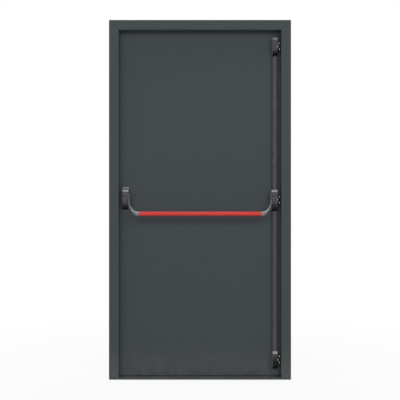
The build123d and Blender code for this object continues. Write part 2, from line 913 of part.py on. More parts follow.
guide_half = rod_cover_width / 2 - rod_cover_sheet - soft_clearance
guide_front = face_y - rod_cover_depth + rod_cover_sheet + soft_clearance
with BuildPart() as rod_guides:
    for low, high in (upper_cover_span, lower_cover_span):
        for share in rod_guide_shares:
            middle = low + share * (high - low)
            bottom = middle - rod_guide_height / 2
            top = middle + rod_guide_height / 2
            block((gear_x - guide_half, guide_front, bottom), (gear_x + guide_half, face_y, top))
            shoulders = edges(Select.LAST).filter_by(Axis.Z).group_by(Axis.Y)[0]
            fillet(shoulders, rod_cover_round - rod_cover_sheet)
            block(
                (rod_x - running_fit, rod_front - running_fit, bottom - cut),
                (rod_x + rod_thickness + running_fit, rod_rear + running_fit, top + cut),
                Mode.SUBTRACT,
            )
keep(rod_guides.part, "rod_guides")


def cam_plate(height):
    """Plate with the sloping slot that draws a bolt in as the rods rise."""
    edge = bolt_pin_radius + running_fit + cam_edge
    low = height - rod_travel - edge
    high = height + edge
    with BuildPart() as piece:
        with BuildSketch(Plane.XZ.offset(-rod_front)):
            with Locations(((cam_near + cam_far) / 2, (low + high) / 2)):
                Rectangle(cam_far - cam_near, high - low)
            with Locations((bolt_pin_x - bolt_throw / 2, height - rod_travel / 2)):
                SlotCenterToCenter(
                    hypot(bolt_throw, rod_travel),
                    2 * (bolt_pin_radius + running_fit),
                    rotation=degrees(atan2(rod_travel, bolt_throw)),
                    mode=Mode.SUBTRACT,
                )
        extrude(amount=cam_sheet)
    return piece.part


slider_low = pivot_height - slider_fall
slider_high = pivot_height + slider_rise
with BuildPart() as slider:
    block((slider_x, rod_front, slider_low), (slider_x + rod_thickness, rod_rear, slider_high))
    pin_slide = rocker_radius - rocker_radius * cos(half_press) + rocker_slot_spare
    with BuildSketch(Plane.YZ.offset(slider_x)):
        with Locations((rocker_pin_y + pin_slide / 2 - rocker_slot_spare / 2, rocker_pin_z)):
            SlotCenterToCenter(pin_slide, 2 * (rocker_pin_radius + running_fit))
    extrude(amount=rod_thickness, mode=Mode.SUBTRACT)
    add(cam_plate(centre_bolt_height))

lower_rod_low = latch_floor_height - rod_end_gap
with BuildPart() as lower_rod:
    block(
        (rod_x, rod_front, lower_rod_low),
        (rod_x + rod_thickness, rod_rear, slider_low + rod_lap),
    )

rod_middle_y = (rod_front + rod_rear) / 2
with BuildPart() as upper_rod:
    block(
        (rod_x, rod_front, slider_high - rod_lap / 2),
        (rod_x + rod_thickness, rod_rear, rod_top),
    )
    block(
        (rod_x, rod_middle_y - rod_tongue_width / 2, rod_top),
        (rod_x + rod_thickness, rod_middle_y + rod_tongue_width / 2, rod_top + rod_tongue_height),
    )

spring_x = rod_x + rod_thickness / 2
coil_height = spring_length - 2 * spring_wire
with BuildPart() as return_spring:
    coil_start = (spring_x, rod_middle_y, rod_top + spring_play + spring_wire)
    with BuildLine():
        coil = Helix(coil_height / spring_turns, coil_height, spring_radius, center=coil_start)
    with BuildSketch(Plane(origin=coil @ 0, z_dir=coil % 0)):
        Circle(spring_wire)
    sweep()

keep(slider.part, "slider")
keep(lower_rod.part, "lower_rod")
keep(upper_rod.part, "upper_rod")
keep(cam_plate(top_latch_height), "top_cam")
keep(cam_plate(latch_floor_height), "bottom_cam")
keep(return_spring.part, "return_spring")


# Bolts
def bolt(height):
    """Latch bolt with a nose bevelled on the closing side and a drive pin behind."""
    rear_x = bolt_tip - bolt_length
    with BuildPart() as piece:
        with BuildSketch(Plane.XY.offset(height - bolt_height / 2)):
            with BuildLine():
                Polyline(
                    (rear_x, bolt_rear),
                    (bolt_tip, bolt_rear),
                    (bolt_tip, bolt_rear - bolt_nose_flat),
                    (bolt_tip - bolt_nose, bolt_front),
                    (rear_x, bolt_front),
                    close=True,
                )
            make_face()
        extrude(amount=bolt_height)
        pin_length = rod_front - cam_pin_gap - bolt_rear
        rod_between((bolt_pin_x, bolt_rear, height), (0, 1, 0), bolt_pin_radius, pin_length)
    return piece.part


for name, height in bolt_heights.items():
    keep(bolt(height), f"{name}_bolt")

# Push bar
arm_length = hypot(bar_drop, bar_reach)
arm_x = bar_case_near - arm_gap - arm_plate / 2
tube_half = arm_x - arm_bend_inward - arm_collar
arm_straight = arm_length - arm_bend_run
bar_y = pivot_y - bar_reach
bar_z = pivot_height - bar_drop


def arm_plane(along, turn):
    """Section plane on the right arm's line: along its straight run, then round its elliptic bend."""
    down = Vector(0, -bar_reach, -bar_drop) / arm_length
    inward = Vector(-1, 0, 0)
    start = Vector(arm_x, pivot_y, pivot_height)
    run = along + arm_bend_run * sin(turn)
    set_in = arm_bend_inward * (1 - cos(turn))
    down_rate = arm_bend_run * cos(turn)
    inward_rate = arm_bend_inward * sin(turn)
    centre = start + down * run + inward * set_in
    tangent = down * down_rate + inward * inward_rate
    across = inward * down_rate - down * inward_rate
    return Plane(origin=centre, x_dir=across, z_dir=tangent)


with BuildPart() as right_arm:
    boss_start = (arm_x - arm_plate / 2, pivot_y, pivot_height)
    rod_between(boss_start, (1, 0, 0), arm_boss_radius, arm_plate)
    fillet(edges().filter_by(GeomType.CIRCLE), arm_boss_edge)
    with BuildSketch(arm_plane(0, 0)):
        RectangleRounded(arm_plate, arm_width, arm_round_share * arm_plate)
    extrude(amount=arm_straight)
    for turn_share, swell_share in arm_bend_shares:
        thickness = arm_plate + swell_share * (2 * tube_radius - arm_plate)
        width = arm_width + swell_share * (2 * tube_radius - arm_width)
        with BuildSketch(arm_plane(arm_straight, radians(90 * turn_share))):
            RectangleRounded(thickness, width, arm_round_share * thickness)
    loft()
    collar_start = (tube_half + arm_collar, bar_y, bar_z)
    rod_between(collar_start, (-1, 0, 0), tube_radius, arm_collar)
    spigot_radius = tube_radius - tube_wall - spigot_fit
    rod_between(collar_start, (-1, 0, 0), spigot_radius, arm_collar + spigot_length)
    bore_length = arm_plate + 2 * cut
    bore_start = (boss_start[0] - cut, pivot_y, pivot_height)
    rod_between(bore_start, (1, 0, 0), shaft_radius + screw_fit, bore_length, Mode.SUBTRACT)
    hub = (arm_x, pivot_y, pivot_height)
    rod_between(hub, (0, 0, 1), set_screw_radius + screw_fit, arm_boss_radius + cut, Mode.SUBTRACT)

with BuildPart() as right_shaft:
    shaft_start = (arm_x - arm_plate / 2, pivot_y, pivot_height)
    rod_between(shaft_start, (1, 0, 0), shaft_radius, wall_far - shaft_start[0])

with BuildPart() as push_tube:
    tube_start = (-tube_half, bar_y, bar_z)
    rod_between(tube_start, (1, 0, 0), tube_radius, 2 * tube_half)
    rod_between(tube_start, (1, 0, 0), tube_radius - tube_wall, 2 * tube_half, Mode.SUBTRACT)

with BuildPart() as rocker:
    with BuildSketch(Plane.YZ.offset(rocker_near)):
        with Locations((pivot_y, pivot_height)):
            Circle(rocker_hub_radius)
        with Locations((rocker_pin_y, rocker_pin_z)):
            Circle(rocker_tip_radius)
        make_hull()
        with Locations((pivot_y, pivot_height)):
            Circle(shaft_radius + screw_fit, mode=Mode.SUBTRACT)
    extrude(amount=rocker_thickness)
    pin_reach = slider_x + rod_thickness + rocker_pin_tail - rocker_far
    rod_between((rocker_far, rocker_pin_y, rocker_pin_z), (1, 0, 0), rocker_pin_radius, pin_reach)

set_screw_length = arm_boss_radius - set_screw_sink - shaft_radius
with BuildPart() as arm_screws:
    for side in (-1, 1):
        start = (side * arm_x, pivot_y, pivot_height + shaft_radius)
        rod_between(start, (0, 0, 1), set_screw_radius, set_screw_length)

keep(push_tube.part, "push_tube")
keep(right_arm.part, "right_arm")
keep(mirrored(right_arm.part), "left_arm")
keep(right_shaft.part, "right_shaft")
keep(mirrored(right_shaft.part), "left_shaft")
keep(rocker.part, "rocker")
keep(arm_screws.part, "arm_screws")
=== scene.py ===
"""Finishes, small details and studio of a steel exit door with a push bar, laid out as an add-on."""

import json
import math

import bpy
import numpy as np
from bpy.props import FloatProperty, FloatVectorProperty, IntProperty, PointerProperty
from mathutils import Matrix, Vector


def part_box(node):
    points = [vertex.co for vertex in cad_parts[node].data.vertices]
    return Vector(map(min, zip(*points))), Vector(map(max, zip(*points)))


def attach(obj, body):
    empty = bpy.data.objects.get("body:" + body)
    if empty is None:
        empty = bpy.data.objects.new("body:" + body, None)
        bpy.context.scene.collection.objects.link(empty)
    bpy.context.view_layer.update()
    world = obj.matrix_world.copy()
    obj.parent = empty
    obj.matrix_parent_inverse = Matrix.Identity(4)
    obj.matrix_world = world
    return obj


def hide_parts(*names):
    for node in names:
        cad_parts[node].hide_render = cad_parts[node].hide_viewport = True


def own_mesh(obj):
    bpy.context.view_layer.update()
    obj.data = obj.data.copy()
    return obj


bl_info = {
    "name": "Exit door finishes",
    "version": (1, 0, 0),
    "blender": (4, 5, 0),
    "location": "View3D > Sidebar > Exit door",
    "description": "Gives the exit door its paint, metal, rubber and small details, and sets its studio",
    "category": "Object",
}

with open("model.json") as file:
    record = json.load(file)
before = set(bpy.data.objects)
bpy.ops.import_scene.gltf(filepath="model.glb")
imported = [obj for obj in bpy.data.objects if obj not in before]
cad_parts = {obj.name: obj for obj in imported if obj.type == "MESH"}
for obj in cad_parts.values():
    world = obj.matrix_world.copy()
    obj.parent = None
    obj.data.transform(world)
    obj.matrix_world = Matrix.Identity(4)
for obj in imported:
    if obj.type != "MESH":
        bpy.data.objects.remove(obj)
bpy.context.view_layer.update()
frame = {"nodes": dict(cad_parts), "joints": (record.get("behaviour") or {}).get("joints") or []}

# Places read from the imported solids, in metres
JAMB_LOW, JAMB_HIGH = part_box("lock_jamb")
LEAF_LOW, LEAF_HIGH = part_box("outer_skin")
SEAL_LOW, SEAL_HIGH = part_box("stop_seal")
ARM_LOW, ARM_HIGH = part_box("right_arm")
TUBE_LOW, TUBE_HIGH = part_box("push_tube")
FRONT = JAMB_LOW.y
OPENING_HALF = JAMB_LOW.x
OPENING_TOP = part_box("head")[0].z

# Height of the line pressed into the two middle cases, a little below the shaft's top
CREASE_DROP = 0.0045
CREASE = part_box("right_shaft")[1].z - CREASE_DROP


# Sizes and colours that a user would change
def colour(name, description, default):
    """A colour property with its words and default."""
    return FloatVectorProperty(
        name=name, description=description, subtype="COLOR", size=3, min=0.0, max=1.0, default=default
    )


def length(name, description, default):
    """A length property in metres with its words and default."""
    return FloatProperty(
        name=name, description=description, unit="LENGTH", min=0.0, default=default, precision=5
    )


def share(name, description, default):
    """A share property from 0 to 1 with its words and default."""
    return FloatProperty(
        name=name, description=description, subtype="FACTOR", min=0.0, max=1.0, default=default
    )


def power(name, description, default):
    """A lamp's power property in watts with its words and default."""
    return FloatProperty(name=name, description=description, unit="POWER", min=0.0, default=default)


def count(name, description, default):
    """A whole number property with its words and default."""
    return IntProperty(name=name, description=description, min=3, default=default)


class DoorColours(bpy.types.PropertyGroup):
    """Colours of the door's finishes."""

    frame_paint: colour("Frame paint", "Powder coat of the frame", (0.056, 0.068, 0.071))
    leaf_paint: colour("Leaf paint", "Powder coat of the leaf", (0.055, 0.065, 0.070))
    case_paint: colour("Case paint", "Satin coat of the cases of the push gear", (0.078, 0.078, 0.079))
    rod_cover: colour("Rod covers", "Dark satin skin of the rod covers", (0.0755, 0.0755, 0.0765))
    arm_metal: colour("Arms", "Satin silver of the bar's arms", (0.185, 0.187, 0.190))
    bar_paint: colour("Push bar", "Red paint of the bar's tube", (0.63, 0.054, 0.047))
    strike_black: colour("Strikes", "Black coat of the strikes", (0.008, 0.009, 0.010))
    bright_steel: colour("Bright steel", "Plated steel of screws, bolts and hinges", (0.58, 0.59, 0.60))
    zinc: colour("Zinc sheet", "Zinc coat of the hidden sheet pieces", (0.46, 0.48, 0.50))
    brass: colour("Bushes", "Turned brass of bushes and washers", (0.64, 0.45, 0.18))
    rubber: colour("Seal", "Black rubber of the stop seal", (0.014, 0.014, 0.015))
    guide: colour("Rod guides", "Black moulded plastic", (0.018, 0.018, 0.020))
    board: colour("Leaf core", "Brown honeycomb board", (0.36, 0.25, 0.14))


class DoorDetails(bpy.types.PropertyGroup):
    """Sizes of the added details."""

    mitre_line: length("Mitre line", "Half the width of the dressed weld at the frame's mitres", 0.0016)
    # The pale bevels below are painted highlights
    cover_bevel_highlight: length("Cover bevel", "Width of the pale bevel at the front top of the covers", 0.012)
    base_bevel_highlight: length("Base bevel", "Width of the pale bevel at the top of the left case's base", 0.006)
    seal_width: length("Seal width", "Width of the seal's foot on the stop", 0.010)
    seal_lip: length("Seal lip", "Height of the small ribs beside the seal's bulb", 0.0014)
    socket_share: share("Screw socket", "Socket's half width as a share of the head's radius", 0.46)
    socket_depth: share("Socket depth", "Socket's depth as a share of its half width", 0.9)
    spring_wire: length("Spring wire", "Radius of the return spring's wire", 0.0009)
    spring_turns: count("Spring turns", "Turns of the return spring", 6)
    screw_steps: count("Steps round", "Steps round a screw", 48)


class DoorStudio(bpy.types.PropertyGroup):
    """Camera and light."""

    camera_distance: length("Camera distance", "From the frame's front to the camera", 4.2)
    camera_height: length("Camera height", "Above the floor", 1.0063)
    camera_lens: FloatProperty(
        name="Lens", description="Focal length", unit="CAMERA", min=10.0, default=67.515
    )
    top_power: power("Top light", "Wide soft ceiling high above the door", 420.0)
    front_power: power("Front light", "Soft box behind the camera", 515.0)
    rear_power: power("Rear lights", "Each of two soft boxes behind the door", 240.0)
    sky: share("Fill", "Even light from all round", 0.19)


# Shader sums
class Wire:
    """A value socket that takes part in Python sums: each sum adds one Math node."""

    def __init__(self, nodes, socket):
        self.nodes = nodes
        self.socket = socket

    def sum(self, operation, *values):
        made = self.nodes.node("ShaderNodeMath", {"operation": operation}, dict(enumerate(values)))
        return Wire(self.nodes, made.outputs[0])

    def __add__(self, other):
        return self.sum("ADD", self, other)

    def __radd__(self, other):
        return self.sum("ADD", other, self)

    def __sub__(self, other):
        return self.sum("SUBTRACT", self, other)

    def __rsub__(self, other):
        return self.sum("SUBTRACT", other, self)

    def __mul__(self, other):
        return self.sum("MULTIPLY", self, other)

    def __rmul__(self, other):
        return self.sum("MULTIPLY", other, self)

    def __truediv__(self, other):
        return self.sum("DIVIDE", self, other)

    def __rtruediv__(self, other):
        return self.sum("DIVIDE", other, self)

    def __pow__(self, other):
        return self.sum("POWER", self, other)

    def __abs__(self):
        return self.sum("ABSOLUTE", self)

    def least(self, other):
        return self.sum("MINIMUM", self, other)

    def most(self, other):
        return self.sum("MAXIMUM", self, other)

    def step(self, low, high):
        """0 at low, 1 at high, smooth in between; low may be above high."""
        settings = {"interpolation_type": "SMOOTHSTEP"}
        values = {"Value": self, "From Min": low, "From Max": high, "To Min": 0.0, "To Max": 1.0}
        return Wire(self.nodes, self.nodes.node("ShaderNodeMapRange", settings, values).outputs[0])


class Nodes:
    """A node tree under construction."""

    def __init__(self, tree):
        self.tree = tree

    def node(self, kind, settings=None, values=None):
        """Any node: its settings first, then the value or link of each socket by name or number."""
        made = self.tree.nodes.new(kind)
        for key, value in (settings or {}).items():
            setattr(made, key, value)
        for key, value in (values or {}).items():
            self.feed(made.inputs[key], value)
        return made

    def feed(self, socket, value):
        """Link a wire or socket to a socket, or set its number."""
        if isinstance(value, Wire):
            value = value.socket
        if isinstance(value, bpy.types.NodeSocket):
            self.tree.links.new(value, socket)
        else:
            socket.default_value = value

    def seen(self):
        """1 to rays of the camera, of gloss and of glass, and 0 to all others."""
        path = self.node("ShaderNodeLightPath").outputs
        names = ("Is Camera Ray", "Is Glossy Ray", "Is Transmission Ray")
        camera, gloss, glass = (Wire(self, path[name]) for name in names)
        return camera.most(gloss).most(glass)


class Finish(Nodes):
    """A material under construction: a Principled shader fed by sums on Object coordinates."""

    def __init__(self, name, roughness, metallic=0.0, specular=0.5):
        self.material = bpy.data.materials.new(name)
        self.material.use_nodes = True
        super().__init__(self.material.node_tree)
        self.shader = self.tree.nodes["Principled BSDF"]
        self.shader.inputs["Roughness"].default_value = roughness
        self.shader.inputs["Metallic"].default_value = metallic
        self.shader.inputs["Specular IOR Level"].default_value = specular
        self.place = self.node("ShaderNodeTexCoord").outputs["Object"]
        parts = self.node("ShaderNodeSeparateXYZ", values={0: self.place}).outputs
        self.x, self.y, self.z = (Wire(self, part) for part in parts)

    def stretched(self, x, y, z):
        """Object coordinates times a number along each axis."""
        values = {"Vector": self.place, "Scale": (x, y, z)}
        return self.node("ShaderNodeMapping", {"vector_type": "POINT"}, values).outputs[0]

    def noise(self, scale, detail=3.0, rough=0.5, place=None):
        """Soft noise from 0 to 1, scale in waves per metre."""
        values = {"Vector": place or self.place, "Scale": scale, "Detail": detail, "Roughness": rough}
        return Wire(self, self.node("ShaderNodeTexNoise", None, values).outputs[0])

    def cells(self, scale, place=None, feature="F1"):
        """Distance to the nearest cell point, scale in cells per metre."""
        values = {"Vector": place or self.place, "Scale": scale}
        return Wire(self, self.node("ShaderNodeTexVoronoi", {"feature": feature}, values).outputs[0])

    def mix(self, share, first, second):
        """Colour between two colours."""
        values = {0: share, 6: solid(first), 7: solid(second)}
        return self.node("ShaderNodeMix", {"data_type": "RGBA"}, values).outputs[2]

    def bump(self, height, strength, distance):
        """Feed the shader's normal from a height in units of distance."""
        values = {"Strength": strength, "Distance": distance, "Height": height}
        self.feed(self.shader.inputs["Normal"], self.node("ShaderNodeBump", None, values).outputs[0])

    def end(self, base, roughness=None):
        """Feed the colour and, where it varies, the roughness, and give the material back."""
        self.feed(self.shader.inputs["Base Color"], base)
        if roughness is not None:
            self.feed(self.shader.inputs["Roughness"], roughness)
        return self.material


def solid(value):
    """A colour triple with its alpha, or the link that came in."""
    if isinstance(value, (Wire, bpy.types.NodeSocket)):
        return value
    return (*value, 1.0)


def tinted(triple, times):
    """A colour times a number, kept at 1 or less."""
    return tuple(min(1.0, channel * times) for channel in triple)


def powder_coat(name, tone, edge, weld=None):
    """Satin powder coat: fine orange peel, slow drifts of tone, paler rubbed edges, pale patches near the
    floor that are partly dust and partly painted light bounced from the floor, and a dark dressed weld where
    there is one. edge and weld are functions of the finish that give the distance to the nearest edge in
    metres, and the weld's depth from 0 to 1."""
    paint = Finish(name, roughness=0.5, specular=0.16)
    worn_from, worn_full, dust_and_bounce_from, dust_and_bounce_full = 0.0022, 0.0002, 0.20, 0.02
    dust_and_bounce_colour = (0.17, 0.165, 0.155)
    drift = paint.noise(1.6, 2.0)
    grain = paint.noise(340.0, 2.0)
    speck = paint.noise(90.0, 4.0, 0.6).step(0.66, 0.78)
    rubbed = edge(paint).step(worn_from, worn_full) * paint.noise(46.0, 4.0, 0.62).step(0.42, 0.72)
    # Pale dust near the floor, which also paints in the light bounced from the floor onto the door's foot
    dust_and_floor_bounce = paint.z.step(dust_and_bounce_from, dust_and_bounce_full) * (0.5 + paint.noise(24.0, 5.0, 0.6).step(0.32, 0.80))
    base = paint.mix(drift, tinted(tone, 0.93), tinted(tone, 1.07))
    base = paint.mix(speck * 0.18, base, tinted(tone, 1.5))
    base = paint.mix(rubbed * 0.45, base, tinted(tone, 2.6))
    base = paint.mix(dust_and_floor_bounce * 0.22, base, dust_and_bounce_colour)
    height = grain + 1.8 * paint.noise(120.0, 2.0)
    if weld:
        line = weld(paint)
        base = paint.mix(line * 0.30, base, tinted(tone, 0.40))
        height = height - 2.2 * line
    paint.bump(height, 0.16, 0.00025)
    return paint.end(base, 0.43 + 0.12 * drift + 0.10 * dust_and_floor_bounce + 0.06 * grain)


def frame_edge(paint):
    """Distance to the frame's long arrises beside and over the opening and at its outer sides."""
    inner = abs(abs(paint.x) - OPENING_HALF).most(abs(paint.y - FRONT))
    outer = abs(abs(paint.x) - JAMB_HIGH.x).most(abs(paint.y - FRONT))
    under = abs(paint.z - OPENING_TOP).most(abs(paint.y - FRONT))
    return inner.least(outer).least(under)


def mitre_weld(half_width):
    """The weld's depth across the two mitres: 1 on the line between the corners of opening and frame."""

    def depth(paint):
        fade = 0.0005
        beside = abs(paint.x) - OPENING_HALF
        above = paint.z - OPENING_TOP
        on_corner = beside.step(-fade, fade) * above.step(-fade, fade)
        return abs(beside - above).step(1.6 * half_width, 0.3 * half_width) * on_corner

    return depth


def leaf_edge(paint):
    """Distance to the leaf's four outer arrises."""
    side = LEAF_HIGH.x - abs(paint.x)
    end = (paint.z - LEAF_LOW.z).least(LEAF_HIGH.z - paint.z)
    return side.least(end)


def satin_case(name, tone, gloss, bevel_highlight=None, painted_chin_shade=None, wall=None, crease=None):
    """Dark satin coat of a pressed cover: fine grain, faint handling marks and pale specks. The bevel
    highlight, given by its front, its top, its width and its colour, is a painted highlight where the steps
    back and down add up to that width; the painted chin shade darkens the coat from its upper height to its
    lower one; painted light makes the side wall at that distance from the door's middle paler; and a pressed
    line runs at the crease, drawn as a bump with painted shade along it."""
    coat = Finish(name, roughness=gloss, specular=0.13)
    wall_from, wall_full, bevel_from, bevel_full = 0.0009, 0.0003, 0.0016, 0.0003
    line_from, line_full = 0.0040, 0.0010
    grain = coat.noise(900.0, 2.0)
    marks = coat.noise(38.0, 5.0, 0.65, coat.stretched(1.0, 1.0, 0.35))
    base = coat.mix(marks, tinted(tone, 0.82), tinted(tone, 1.25))
    base = coat.mix(coat.noise(160.0, 3.0).step(0.68, 0.80) * 0.20, base, tinted(tone, 3.0))
    height = grain + 0.5 * marks
    # Painted shade: the cover darkens towards its chin, which faces down
    if painted_chin_shade:
        base = coat.mix(coat.z.step(*painted_chin_shade) * 0.98, base, tinted(tone, 0.06))
    # Painted light: the side wall facing the door's middle is painted pale as if lit from the side
    if wall:
        rubbed = abs(coat.x).step(wall + wall_from, wall + wall_full)
        base = coat.mix(rubbed * 0.85, base, tinted(tone, 5.0))
    # Painted highlight along the top bevel
    if bevel_highlight:
        front, top, width, pale = bevel_highlight
        inward = (coat.y - front) + (top - coat.z)
        base = coat.mix(inward.step(width + bevel_from, width + bevel_full) * 0.85, base, pale)
    # Painted shade along the pressed line; the bump gives its groove
    if crease:
        line = abs(coat.z - crease).step(line_from, line_full)
        base = coat.mix(line * 0.6, base, tinted(tone, 0.15))
        height = height - 3.0 * line
    coat.bump(height, 0.10, 0.00015)
    return coat.end(base, gloss - 0.05 + 0.12 * marks)


def brushed(name, tone, roughness, along):
    """Metal with fine lines along one axis: noise drawn out along it changes the roughness and the height."""
    metal = Finish(name, roughness=roughness, metallic=1.0)
    drawn = metal.stretched(*(0.02 if axis == along else 1.0 for axis in "xyz"))
    lines = metal.noise(1400.0, 3.0, 0.6, drawn)
    stain = metal.noise(30.0, 4.0, 0.6)
    base = metal.mix(stain, tinted(tone, 0.84), tinted(tone, 1.08))
    base = metal.mix(lines.step(0.35, 0.75) * 0.35, base, tinted(tone, 0.72))
    metal.bump(lines, 0.12, 0.00012)
    return metal.end(base, roughness - 0.06 + 0.14 * lines + 0.06 * stain)


def satin_arm(name, tone):
    """Cast arm under satin lacquer: duller by its hub and smoother towards the bar, with painted shade that
    darkens it by its hub and fades out towards the bar.
    """
    metal = Finish(name, roughness=0.36, metallic=0.5)
    hub_reach, bend_reach = 0.02, 0.035
    rubbed = metal.z.step(ARM_HIGH.z - hub_reach, ARM_LOW.z + bend_reach)
    grain = metal.noise(700.0, 2.0)
    stain = metal.noise(32.0, 4.0, 0.6)
    # Painted shade: darker by the hub, fading out towards the bar
    base = metal.mix(rubbed, tinted(tone, 0.45), tone)
    base = metal.mix(stain.step(0.35, 0.8) * 0.25, base, tinted(tone, 0.6))
    metal.bump(grain + 0.6 * stain, 0.10, 0.00015)
    return metal.end(base, 0.42 - 0.10 * rubbed + 0.08 * stain)


def zinc_sheet(name, tone):
    """Zinc coat: flat crystals a few millimetres wide, each with its own tone and dullness."""
    zinc = Finish(name, roughness=0.45, metallic=1.0)
    crystal = zinc.node("ShaderNodeTexVoronoi", {"feature": "F1"}, {"Vector": zinc.place, "Scale": 210.0})
    shade = Wire(zinc, zinc.node("ShaderNodeSeparateColor", None, {0: crystal.outputs["Color"]}).outputs[0])
    base = zinc.mix(shade, tinted(tone, 0.78), tinted(tone, 1.15))
    zinc.bump(zinc.noise(600.0, 2.0), 0.08, 0.00015)
    return zinc.end(base, 0.36 + 0.22 * shade)


def red_paint(name, tone):
    """Satin red paint: faint peel; scuffs and a smoother coat where hands push, most in the middle of the
    bar; and painted shade that leaves a bright band at the front, darkens the top and back, and darkens the
    underside most."""
    paint = Finish(name, roughness=0.38, specular=0.25)
    centre, radius = (TUBE_LOW + TUBE_HIGH) / 2, (TUBE_HIGH.z - TUBE_LOW.z) / 2
    used = abs(paint.x).step(TUBE_HIGH.x, 0.0)
    front = ((centre.y - paint.y) / radius).step(0.45, 0.97)
    under = ((centre.z - paint.z) / radius).step(0.0, 1.0)
    drift = paint.noise(9.0, 4.0, 0.55)
    scuff = paint.noise(60.0, 5.0, 0.7, paint.stretched(0.25, 1.0, 1.0)).step(0.60, 0.78) * used
    base = paint.mix(drift, tinted(tone, 0.90), tinted(tone, 1.06))
    base = paint.mix(scuff * 0.22, base, (tone[0] * 0.62, tone[1] * 0.7, tone[2] * 0.7))
    # Painted shade: top and back darker than the bright front band
    base = paint.mix(0.55 * (1 - front), base, tinted(tone, 0.30))
    # Painted shade: darker underside
    base = paint.mix(0.50 * under, base, tinted(tone, 0.25))
    paint.bump(paint.noise(420.0, 2.0) + paint.noise(130.0, 2.0), 0.09, 0.0002)
    return paint.end(base, 0.34 - 0.06 * used + 0.10 * drift + 0.12 * scuff)


def black_rubber(name, tone):
    """Matt rubber: moulded grain and grey bloom in patches."""
    rubber = Finish(name, roughness=0.8, specular=0.3)
    bloom = rubber.noise(28.0, 5.0, 0.6).step(0.45, 0.85)
    base = rubber.mix(bloom, tone, tinted(tone, 2.6))
    rubber.bump(rubber.noise(1500.0, 2.0), 0.2, 0.0001)
    return rubber.end(base, 0.72 + 0.15 * bloom)


def moulded(name, tone):
    """Moulded plastic: fine leather-like grain from cells."""
    plastic = Finish(name, roughness=0.5)
    cell = plastic.cells(900.0)
    base = plastic.mix(plastic.noise(40.0), tinted(tone, 0.85), tinted(tone, 1.25))
    plastic.bump(cell, 0.15, 0.0002)
    return plastic.end(base, 0.42 + 0.2 * cell)


def honeycomb(name, tone):
    """Board walls round open cells: pale along the cell borders, with painted shade that darkens the inside
    of each cell.
    """
    board = Finish(name, roughness=0.9, specular=0.2)
    wall = board.cells(80.0, board.stretched(1.0, 0.0, 1.0), "DISTANCE_TO_EDGE").step(0.10, 0.02)
    base = board.mix(wall, tinted(tone, 0.35), tone)
    board.bump(wall, 0.5, 0.002)
    return board.end(base, 0.80 + 0.12 * board.noise(200.0))


def dress(material, *nodes):
    """Give CAD nodes a material."""
    for name in nodes:
        mesh = frame["nodes"][name].data
        mesh.materials.clear()
        mesh.materials.append(material)


# Surfaces
def surface(name, grids, material, body):
    """One mesh from closed grids of points, each rows by columns, that join up round their columns;
    the first and last rows are closed with a fan of triangles drawn to their middle."""
    points, faces, start = [], [], 0
    for grid in grids:
        rows, columns, _ = grid.shape
        caps = grid[[0, -1]].mean(axis=1)
        points.append(np.concatenate([grid.reshape(-1, 3), caps]))
        row, column = np.meshgrid(np.arange(rows - 1), np.arange(columns), indexing="ij")
        here = row * columns + column
        beside = row * columns + (column + 1) % columns
        quads = np.stack([here, beside, beside + columns, here + columns], axis=-1).reshape(-1, 4)
        ring = np.arange(columns)
        after = (ring + 1) % columns
        first = np.stack([after, ring, np.full(columns, rows * columns)], axis=-1)
        last_row = (rows - 1) * columns
        last = np.stack([last_row + ring, last_row + after, np.full(columns, rows * columns + 1)], axis=-1)
        faces += [(part + start).tolist() for part in (quads, first, last)]
        start += rows * columns + 2
    mesh = bpy.data.meshes.new(name)
    mesh.from_pydata(np.concatenate(points), [], [face for part in faces for face in part])
    mesh.update()
    mesh.shade_smooth()
    mesh.set_sharp_from_angle(angle=math.radians(32.0))
    mesh.materials.append(material)
    made = bpy.data.objects.new(name, mesh)
    bpy.context.scene.collection.objects.link(made)
    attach(made, body)
    return made


def smooth_loop(corners, steps):
    """Closed curve through corner points: a Catmull-Rom cubic between each two, as whole arrays."""
    before, here, after, later = (np.roll(corners, shift, axis=0)[:, None] for shift in (1, 0, -1, -2))
    t = np.linspace(0.0, 1.0, steps, endpoint=False)[None, :, None]
    cubic = 0.5 * (
        2 * here
        + (after - before) * t
        + (2 * before - 5 * here + 4 * after - later) * t**2
        + (3 * here - before - 3 * after + later) * t**3
    )
    return cubic.reshape(-1, corners.shape[1])


SCREW_GAP = 0.008
SIDE_SHIFT = 5.0


def screw_boxes(node):
    """Low and high corner of every screw in a CAD node: its points sorted by height, the door's left side
    shifted below the right one, fall into one run for each screw, with a screw gap between the runs."""
    mesh = frame["nodes"][node].data
    points = np.empty(len(mesh.vertices) * 3, dtype=np.float32)
    mesh.vertices.foreach_get("co", points)
    points = points.reshape(-1, 3)
    key = points[:, 2] - SIDE_SHIFT * (points[:, 0] < 0.0)
    order = np.argsort(key)
    breaks = np.flatnonzero(np.diff(key[order]) > SCREW_GAP) + 1
    return [(points[run].min(axis=0), points[run].max(axis=0)) for run in np.split(order, breaks)]


